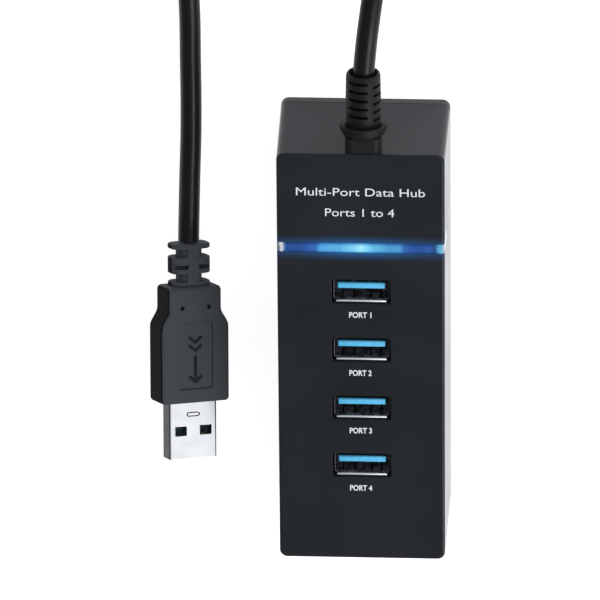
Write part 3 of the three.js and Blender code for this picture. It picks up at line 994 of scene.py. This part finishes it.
class HUB_OT_base_cover(Operator):
    """Model the base cover: plate, locating lip, board pillars and deep screw recesses"""

    bl_idname = "hub.base_cover"
    bl_label = "Base Cover"

    def execute(self, context):
        settings = context.scene.usb_hub
        housing = settings.housing
        low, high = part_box("base_cover")
        plate_top = PLATE_TOP * MM
        cover = drafted_block("base_cover_body", low, Vector((high.x, high.y, plate_top)), housing, 0.0,
                              0.8 * MM)
        self.add_lip(cover, housing, high, plate_top)
        pillars = [post("pillar", 3.8 * MM, at, (1 * MM, high.z)) for at in screw_places()]
        boolean(cover, joined("pillars", *pillars), "UNION")
        recesses = [post("recess", 2.8 * MM, at, (-1 * MM, 6.2 * MM)) for at in screw_places()]
        boolean(cover, joined("recesses", *recesses))
        holes = [post("hole", PILOT_RADIUS * MM, at, (5 * MM, 12 * MM)) for at in screw_places()]
        boolean(cover, joined("holes", *holes))
        completed(cover, 0.12 * MM, 30)
        finished(cover, cover_finish(settings.colours), "housing", "base_cover")
        return {"FINISHED"}

    def add_lip(self, cover, housing, high, plate_top):
        inset = housing.side_wall + 0.2 * MM
        wall = 1.2 * MM
        lip = round_block("lip", (-high.x + inset, -high.y + inset, plate_top - 0.4 * MM),
                          (high.x - inset, high.y - inset, 5.0 * MM), 0.8 * MM, 2)
        core = block("lip_core", (-high.x + inset + wall, -high.y + inset + wall, 0),
                     (high.x - inset - wall, high.y - inset - wall, 8 * MM))
        boolean(lip, core)
        boolean(cover, lip, "UNION")


class HUB_OT_light_bar(Operator):
    """Model the light bar that wraps over the top face, with its light guide down to the diode"""

    bl_idname = "hub.light_bar"
    bl_label = "Light Bar"

    def execute(self, context):
        settings = context.scene.usb_hub
        housing = settings.housing
        low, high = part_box("light_bar")
        shell_low, shell_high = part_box("top_shell")
        bar = drafted_block("light_bar_body", shell_low, shell_high, housing, housing.long_edge)
        foot = shell_high.z - 9 * MM
        slab = block("slab", (-BEYOND * MM, low.y, foot), (BEYOND * MM, high.y, shell_high.z + 1 * MM))
        boolean(bar, slab, "INTERSECT")
        inner = shell_high.x - 2 * housing.draft - housing.groove + 0.35 * MM
        boolean(bar, block("core", (-inner, low.y - 5 * MM, 0), (inner, high.y + 5 * MM, high.z - 1.05 * MM)))
        boolean(bar, self.guide(low, high), "UNION")
        completed(bar, 0.15 * MM, 30, 3)
        finished(bar, light_finish(), "light_bar", "light_bar")
        return {"FINISHED"}

    def guide(self, low, high):
        """A flat fan, narrow at the diode and wide under the bar."""
        middle = middle_y("light_bar")
        half = 0.7 * MM
        guide = block("guide", (-2.5 * MM, middle - half, low.z),
                      (2.5 * MM, middle + half, low.z + 1 * MM))
        with editing(guide):
            select_faces(guide, lambda centre, normal: normal.z > 0.99)
            rise = high.z - 4 * MM - (low.z + 1 * MM)
            extrude(0, 0, rise)
            bpy.ops.transform.resize(value=(13 / 2.5, 1, 1), center_override=(0, middle, high.z - 4 * MM))
            extrude(0, 0, 3.1 * MM)
        return guide


# ---------------------------------------------------------------- ports


class HUB_OT_ports(Operator):
    """Model one upright port, shell, insulator and contacts, and copy it along the row"""

    bl_idname = "hub.ports"
    bl_label = "Ports"

    def execute(self, context):
        settings = context.scene.usb_hub
        steel = port_steel_finish(settings.colours)
        blue = tongue_finish(settings.colours)
        gold = gold_finish()
        shell = self.shell(settings.port)
        insulator = self.insulator()
        contacts = self.contacts()
        start = middle_y("port_1_shell")
        for name in PORT_NAMES:
            move = (0, middle_y(f"{name}_shell") - start, 0)
            finished(copied(shell, f"{name}_steel", move), steel, "port_metal", f"{name}_shell")
            finished(copied(insulator, f"{name}_tongue", move), blue, "tongue", f"{name}_insulator")
            finished(copied(contacts, f"{name}_contacts", move), gold, "port_metal")
        for model in (shell, insulator, contacts):
            bpy.data.objects.remove(model)
        return {"FINISHED"}

    def shell(self, port):
        """A folded steel sleeve with flared lips on its long walls, sprung fingers and four board legs."""
        low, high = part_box("port_1_shell")
        y = middle_y("port_1_shell")
        foot = 11 * MM
        half_x = high.x - port.sheet
        half_y = (high.y - low.y) / 2 - port.sheet
        straight = high.z - port.lip
        shell = block("port_shell", (-half_x, y - half_y, foot), (half_x, y + half_y, straight))
        with editing(shell):
            select_faces(shell, lambda centre, normal: abs(normal.z) > 0.99)
            bpy.ops.mesh.delete(type="FACE")
            select_edges(shell, lambda middle, way: abs(way.z) > 0.99)
            bevel(0.45 * MM, 5)
            for side in (-1, 1):
                select_edges(shell, lambda middle, way: middle.z > straight - 0.01 * MM and abs(way.x) > 0.99
                             and (middle.y - y) * side > 0)
                for lift, lean in ((0.4, 0.3), (0.6, 0.7)):
                    bpy.ops.mesh.extrude_edges_move(
                        TRANSFORM_OT_translate={"value": (0, side * port.flare * lean, port.lip * lift)})
        apply_modifier(shell, "SOLIDIFY", thickness=port.sheet, offset=1.0)
        faces_out(shell)
        self.cut_finger_holes(shell, y)
        pieces = [shell]
        for side in (-1, 1):
            for x, width in (*FINGERS, (-0.4, 0.7), (1.2, 0.8)):
                if abs(x) > 2 or side < 0:
                    pieces.append(self.finger(x * MM, width * MM, y, side, half_y, straight, abs(x) > 2))
        for x in (-1, 1):
            for leg_y in (-1.3, 1.3):
                centre = x * (high.x - port.sheet / 2)
                pieces.append(block("leg", (centre - port.sheet / 2, y + (leg_y - 0.6) * MM, low.z),
                                    (centre + port.sheet / 2, y + (leg_y + 0.6) * MM, foot + 0.05 * MM)))
        shell = joined("port_shell", *pieces)
        fine_edges(shell, 0.05 * MM)
        smooth(shell)
        return shell

    def cut_finger_holes(self, shell, y):
        cutters = []
        for x, width in FINGERS:
            half = (width / 2 + 0.4) * MM
            for side in (-1, 1):
                ends = sorted((side * 1.5 * MM, side * 5 * MM))
                cutters.append(block("finger_hole", (x * MM - half, y + ends[0], 20.6 * MM),
                                     (x * MM + half, y + ends[1], 27.2 * MM)))
        boolean(shell, joined("finger_holes", *cutters))

    def finger(self, x, width, y, side, half_y, top, sprung):
        """A strip that leans in from the mouth and out again at its free end."""
        length = 6.0 * MM if sprung else 2.2 * MM
        dip = 0.55 * MM if sprung else 0.3 * MM
        root = top - 0.55 * MM
        wall = y + side * half_y
        outer = wall + side * 0.14 * MM
        ends = sorted((wall + side * 0.02 * MM, outer + side * 0.12 * MM))
        strip = block("finger", (x - width / 2, ends[0], root - 0.2 * MM),
                      (x + width / 2, ends[1], root + 0.25 * MM))
        leaned = 0.0
        with editing(strip):
            select_faces(strip, lambda centre, normal: normal.z < -0.99)
            for drop, lean in ((0.18, 0.35), (0.22, 0.75), (0.2, 1.0), (0.4, 0.35)):
                extrude(0, -side * (lean * dip - leaned), -drop * length)
                leaned = lean * dip
        return strip

    def insulator(self):
        low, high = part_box("port_1_insulator")
        base_top = 15 * MM
        tongue_y = middle_y("port_1_shell") + 1.0 * MM
        base = block("port_insulator", low, (high.x, high.y, base_top))
        tongue = block("tongue", (-TONGUE_HALF * MM, tongue_y - 0.95 * MM, base_top - 1 * MM),
                       (TONGUE_HALF * MM, tongue_y + 0.6 * MM, high.z + 0.2 * MM))
        with editing(tongue):
            select_faces(tongue, lambda centre, normal: normal.z > 0.99)
            bevel(0.4 * MM, 4)
        boolean(base, tongue, "UNION")
        for place in CONTACT_PLACES:
            x = place * MM
            boolean(base, block("channel", (x - 0.6 * MM, tongue_y - 3 * MM, base_top + 0.6 * MM),
                                (x + 0.6 * MM, tongue_y - 0.65 * MM, high.z - 1.4 * MM)))
        fine_edges(base, 0.22 * MM, 3)
        tidy_mesh(base, 35)
        return base

    def contacts(self):
        """Four long sprung contacts and five short flat ones, all on the tongue's open side."""
        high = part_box("port_1_insulator")[1]
        face = middle_y("port_1_shell") + 0.15 * MM
        pieces = []
        for x in CONTACT_PLACES:
            strip = block("contact", ((x - 0.45) * MM, face - 0.02 * MM, 15.8 * MM),
                          ((x + 0.45) * MM, face + 0.15 * MM, 22.5 * MM))
            with editing(strip):
                select_faces(strip, lambda centre, normal: normal.z > 0.99)
                for rise, lean in ((1.2, -0.45), (0.7, -0.15), (0.8, 0.3)):
                    extrude(0, lean * MM, rise * MM)
            pieces.append(strip)
        for x in (-4.0, -2.0, 0.0, 2.0, 4.0):
            pieces.append(block("pad", ((x - 0.35) * MM, face - 0.04 * MM, high.z - 1.25 * MM),
                                ((x + 0.35) * MM, face + 0.1 * MM, high.z - 0.35 * MM)))
        contacts = joined("port_contacts", *pieces)
        fine_edges(contacts, 0.04 * MM)
        smooth(contacts)
        return contacts


# ---------------------------------------------------------------- legends


class HUB_OT_legends(Operator):
    """Print the generic legends on the top face"""

    bl_idname = "hub.legends"
    bl_label = "Legends"

    title: StringProperty(name="Title", description="First line on the top face",
                          default="Multi-Port Data Hub")
    subtitle: StringProperty(name="Subtitle", description="Second line on the top face",
                             default="Ports 1 to 4")

    def execute(self, context):
        settings = context.scene.usb_hub
        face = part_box("top_shell")[1].z
        prints = [
            self.line(self.title, Vector((0, 43.5 * MM, face)), 29.8 * MM, 2.1 * MM, 0.0),
            self.line(self.subtitle, Vector((-0.2 * MM, 38.2 * MM, face)), 16.0 * MM, 2.1 * MM, 0.0),
        ]
        for index, name in enumerate(PORT_NAMES):
            centre = Vector((-0.2 * MM, middle_y(f"{name}_shell") - 5.95 * MM, face))
            prints.append(self.line(f"PORT {index + 1}", centre, 5.2 * MM, 1.45 * MM, 0.05 * MM))
        legends = joined("legends", *prints)
        finished(legends, ink_finish(settings.colours), None)
        return {"FINISHED"}

    def line(self, words, centre, width, cap, weight):
        """One line of print, as thin raised ink of a given width, capital height and extra weight."""
        bpy.ops.object.select_all(action="DESELECT")
        bpy.ops.object.text_add()
        text = bpy.context.object
        text.data.body = words
        text.data.size = 1.0
        text.data.offset = weight / cap * 0.7
        text.data.extrude = 0.01
        text.data.resolution_u = 4
        pick_only(text)
        bpy.ops.object.convert(target="MESH")
        text = bpy.context.object
        xs = [vertex.co.x for vertex in text.data.vertices]
        capital = 0.72
        scale_x = width / (max(xs) - min(xs))
        scale_y = cap / capital
        middle = Vector(((max(xs) + min(xs)) / 2, capital / 2, 0))
        text.data.transform(Matrix.Translation(-middle))
        text.data.transform(Matrix.Diagonal((scale_x, scale_y, 1.2 * MM, 1.0)))
        text.data.transform(Matrix.Translation(centre + Vector((0, 0, 0.012 * MM))))
        return text


# ---------------------------------------------------------------- plug


def plug_frame():
    """The plug's own axes: it starts at its tail, points along -Y and its top face looks along +Z."""
    plug = bpy.context.scene.usb_hub.plug
    lean = Matrix.Rotation(-plug.pitch, 4, "X") @ Matrix.Rotation(plug.roll, 4, "Y")
    turn = Matrix.Rotation(plug.yaw, 4, "Z") @ lean
    return Matrix.Translation(Vector(PLUG_REAR) * MM) @ turn


class HUB_OT_plug(Operator):
    """Model the plug: notched tail, grip with its recessed panel, steel shell, insulator and contacts"""

    bl_idname = "hub.plug"
    bl_label = "Plug"

    def execute(self, context):
        settings = context.scene.usb_hub
        plug = settings.plug
        nose = -(plug.tail + plug.grip)
        grip = self.grip(plug, nose)
        shell = self.shell(plug, nose)
        insulator = self.insulator(plug, nose)
        contacts = self.contacts(plug, nose)
        mark = self.mark(plug, nose)
        finished(grip, grip_finish(settings.colours), "boot", "plug_overmould")
        finished(mark, boot_finish(settings.colours), "boot")
        finished(shell, steel_finish(settings.colours), "port_metal", "plug_shell")
        finished(insulator, plug_insulator_finish(settings.colours), "tongue", "plug_insulator")
        finished(contacts, gold_finish(), "port_metal")
        self.paint_side_shade(grip, shell, plug, settings)
        place = plug_frame()
        for piece in (grip, shell, insulator, contacts, mark):
            piece.data.transform(place)
        return {"FINISHED"}

    def grip(self, plug, nose):
        half = plug.thickness / 2
        narrow = plug.shoulder / 2
        wide = plug.width / 2
        shoulder = -plug.tail - 6.0 * MM
        shoulder_end = shoulder - 3.1 * MM
        body = block("plug_grip", (-narrow, -plug.tail - 1.0 * MM, -half), (narrow, -plug.tail, half))
        with editing(body):
            select_faces(body, lambda centre, normal: normal.y < -0.99)
            extrude(0, shoulder + plug.tail + 1.0 * MM, 0)
            extrude(0, shoulder_end - shoulder, 0)
            bpy.ops.transform.resize(value=(wide / narrow, 1, 1), center_override=(0, shoulder_end, 0))
            extrude(0, nose - shoulder_end, 0)
        fine_edges(body, 1.1 * MM, 5, 25)
        for low, high in self.tail_parts(plug):
            boolean(body, self.ring(low, high), "UNION")
        core = round_block("core", (-2.8 * MM, -plug.tail - 2 * MM, -2.7 * MM),
                           (2.8 * MM, -0.2 * MM, 2.6 * MM), 1.8 * MM, 1, 8)
        boolean(body, core, "UNION")
        spine = round_block("spine", (-1.5 * MM, -plug.tail - 0.5 * MM, 0),
                            (1.5 * MM, -0.3 * MM, 3.06 * MM), 0.3 * MM, 1, 3)
        boolean(body, spine, "UNION")
        self.cut_details(body, plug, nose, shoulder_end)
        completed(body, 0.1 * MM, 32)
        return body

    def tail_parts(self, plug):
        """The start and end of the tail's ring, its block and its last step."""
        return ((0.0, 1.2 * MM), (3.1 * MM, 7.05 * MM), (8.95 * MM, plug.tail + 0.1 * MM))

    def ring(self, start, end):
        ring = block("ring", (-4.8 * MM, -end, -3.1 * MM), (4.8 * MM, -start, 3.1 * MM))
        with editing(ring):
            select_edges(ring, lambda middle, way: abs(way.y) > 0.99)
            bevel(2.2 * MM, 8)
            select_faces(ring, lambda centre, normal: abs(normal.y) > 0.99)
            bevel(0.3 * MM, 3)
        return ring

    def cut_details(self, body, plug, nose, shoulder_end):
        half = plug.thickness / 2
        panel = round_block("panel", (-4.3 * MM, nose + 3.3 * MM, half - 0.4 * MM),
                            (4.3 * MM, shoulder_end + 0.8 * MM, half + 2 * MM), 0.7 * MM, 2, 5)
        boolean(body, panel)
        for side in (-1, 1):
            boolean(body, post("dimple", 0.55 * MM, (side * 3.35 * MM, -plug.tail - 4.9 * MM),
                               (half - 1.2 * MM, half + 1 * MM), 20))
            ends = sorted((side * 1.3 * MM, side * 6 * MM))
            boolean(body, block("tail_slot", (ends[0], -5.9 * MM, 1.7 * MM), (ends[1], -4.9 * MM, 6 * MM)))
        boolean(body, block("pocket", (-6.2 * MM, nose - 1 * MM, -2.45 * MM),
                            (6.2 * MM, nose + 4.5 * MM, 2.45 * MM)))

    def shell(self, plug, nose):
        tip = nose - plug.bare
        shell = block("plug_shell_body", (-PLUG_HALF_WIDTH * MM, tip, -PLUG_HALF_HEIGHT * MM),
                      (PLUG_HALF_WIDTH * MM, nose + BURIED * MM, PLUG_HALF_HEIGHT * MM))
        with editing(shell):
            select_faces(shell, lambda centre, normal: abs(normal.y) > 0.99)
            bpy.ops.mesh.delete(type="FACE")
            select_edges(shell, lambda middle, way: abs(way.y) > 0.99)
            bevel(0.5 * MM, 6)
        apply_modifier(shell, "SOLIDIFY", thickness=0.3 * MM, offset=-1.0)
        faces_out(shell)
        for x in (-3.13, 3.13):
            boolean(shell, round_block("lock_hole", ((x - 1.45) * MM, tip + 5.5 * MM, -4 * MM),
                                       ((x + 1.45) * MM, tip + 7.8 * MM, 4 * MM), 0.15 * MM, 2, 2))
        boolean(shell, self.oval(tip + OVAL_FROM_TIP * MM, 1.65 * MM, 0.55 * MM, 2.08 * MM))
        completed(shell, 0.06 * MM, 35, 3)
        return shell

    def oval(self, y, half_x, half_y, floor):
        """A cutter for a shallow oval groove round a small island in the top of the shell."""
        outer = round_block("oval", (-half_x, y - half_y, floor), (half_x, y + half_y, 4 * MM),
                            half_y * 0.98, 2, 8)
        rim = 0.24 * MM
        inner = round_block("island", (-half_x + rim, y - half_y + rim, 0),
                            (half_x - rim, y + half_y - rim, 5 * MM), (half_y - rim) * 0.98, 2, 8)
        boolean(outer, inner)
        return outer

    def paint_side_shade(self, grip, shell, plug, settings):
        """Paints shade on the narrow left sides of the grip and the shell, and in the shell's oval groove,
        with darkened copies of their finishes.
        """
        # Painted shade: a steel copy darkened to 0.045 for the shell's left side and its oval groove.
        shade_steel = steel_finish(settings.colours, "steel_painted_shade", (0.34, 0.46), 2400.0, 0.045)
        for piece, finish in ((grip, grip_shade_finish(settings.colours)), (shell, shade_steel)):
            piece.data.materials.append(finish)
            reach = max(abs(vertex.co.x) for vertex in piece.data.vertices)
            for face in piece.data.polygons:
                if face.normal.x < -0.7 and face.center.x < -0.55 * reach:
                    face.material_index = 1
        groove = -(plug.tail + plug.grip + plug.bare) + OVAL_FROM_TIP * MM
        for face in shell.data.polygons:
            near = abs(face.center.x) < 1.7 * MM and abs(face.center.y - groove) < 0.6 * MM
            if near and 1.98 * MM < face.center.z < 2.22 * MM:
                face.material_index = 1

    def insulator(self, plug, nose):
        tip = nose - plug.bare
        insulator = block("plug_insulator_body", (-5.35 * MM, tip + 0.6 * MM, -1.8 * MM),
                          (5.35 * MM, nose + BURIED * MM, 0.1 * MM))
        for x in CONTACT_PLACES:
            boolean(insulator, block("channel", ((x - 0.6) * MM, tip - 1 * MM, -0.05 * MM),
                                     ((x + 0.6) * MM, nose - 4 * MM, 2 * MM)))
        fine_edges(insulator, 0.1 * MM)
        tidy_mesh(insulator)
        return insulator

    def contacts(self, plug, nose):
        tip = nose - plug.bare
        pieces = []
        for x, reach in ((-3.5, 1.4), (-1.0, 2.4), (1.0, 2.4), (3.5, 1.4)):
            pieces.append(block("contact", ((x - 0.5) * MM, tip + reach * MM, -0.1 * MM),
                                ((x + 0.5) * MM, tip + 5.2 * MM, 0.02 * MM)))
        contacts = joined("plug_contacts", *pieces)
        fine_edges(contacts, 0.04 * MM)
        smooth(contacts)
        return contacts

    def mark(self, plug, nose):
        """A raised arrow that points to the tip, with two chevrons behind it."""
        floor = plug.thickness / 2 - 0.42 * MM
        top = floor + 0.3 * MM
        y = nose + 5.0 * MM
        pieces = [block("stem", (-0.3 * MM, y, floor), (0.3 * MM, y + 6.2 * MM, top))]
        for tail in (0.0, 7.4, 9.4):
            for side in (-1, 1):
                arm = block("arm", (0, -0.3 * MM, floor), (2.1 * MM, 0.3 * MM, top))
                turn = Matrix.Rotation(math.radians(42 if side > 0 else 138), 4, "Z")
                arm.data.transform(Matrix.Translation((0, y + tail * MM, 0)) @ turn)
                pieces.append(arm)
        mark = joined("plug_mark", *pieces)
        fine_edges(mark, 0.06 * MM)
        tidy_mesh(mark)
        return mark


# ---------------------------------------------------------------- inside


class HUB_OT_inside(Operator):
    """Finish the board, its parts, the wires and the screws"""

    bl_idname = "hub.inside"
    bl_label = "Inside"

    def execute(self, context):
        settings = context.scene.usb_hub
        board = grained("solder_mask", (0.012, 0.11, 0.045), (0.008, 0.075, 0.03), (0.3, 0.42), 1200,
                        0.006 * MM)
        epoxy = grained("chip_epoxy", (0.02, 0.02, 0.022), (0.013, 0.013, 0.014), (0.5, 0.62), 3000,
                        0.004 * MM)
        can = steel_finish(settings.colours, "plain_can", (0.3, 0.42), 1500.0)
        zinc = steel_finish(settings.colours, "zinc_screw", (0.28, 0.4), 1800.0)
        lens = grained("diode_lens", (0.85, 0.88, 0.9), (0.75, 0.8, 0.85), (0.15, 0.25), 900,
                       0.002 * MM)
        refinish("circuit_board", board)
        for node in ("hub_controller", "voltage_regulator"):
            refinish(node, epoxy)
        refinish("clock_crystal", can)
        refinish("indicator_led", lens)
        for index in range(1, 5):
            refinish(f"bus_capacitor_{index}", can)
            refinish(f"cover_screw_{index}", zinc)
        wires = {
            "wire_power": (0.45, 0.02, 0.015), "wire_ground": (0.015, 0.015, 0.015),
            "wire_data_minus": (0.75, 0.75, 0.73), "wire_data_plus": (0.03, 0.28, 0.06),
            "wire_pair_receive": (0.03, 0.1, 0.45), "wire_pair_transmit": (0.2, 0.06, 0.33),
        }
        for node, value in wires.items():
            jacket = grained(f"{node}_jacket", value, shaded(value, 0.8), (0.35, 0.45), 1500, 0.003 * MM)
            refinish(node, jacket)
        return {"FINISHED"}


# ---------------------------------------------------------------- panel and registration


OPERATORS = (
    HUB_OT_stage, HUB_OT_lead, HUB_OT_strain_relief, HUB_OT_top_shell, HUB_OT_base_cover, HUB_OT_light_bar,
    HUB_OT_ports, HUB_OT_legends, HUB_OT_plug, HUB_OT_inside,
)


class HUB_PT_maker(Panel):
    """Lists the steps that build the hub"""

    bl_idname = "HUB_PT_maker"
    bl_label = "USB Hub Maker"
    bl_space_type = "VIEW_3D"
    bl_region_type = "UI"
    bl_category = "Hub"

    def draw(self, context):
        for operator in OPERATORS:
            self.layout.operator(operator.bl_idname)


CLASSES = (
    HubHousingSettings, HubPortSettings, HubLeadSettings, HubPlugSettings, HubColourSettings, HubSettings,
    *OPERATORS, HUB_PT_maker,
)


def register():
    for cls in CLASSES:
        bpy.utils.register_class(cls)
    bpy.types.Scene.usb_hub = PointerProperty(type=HubSettings)


def unregister():
    del bpy.types.Scene.usb_hub
    for cls in reversed(CLASSES):
        bpy.utils.unregister_class(cls)


def main():
    register()
    for operator in OPERATORS:
        group, name = operator.bl_idname.split(".")
        getattr(getattr(bpy.ops, group), name)()


if __name__ == "__main__":
    main()
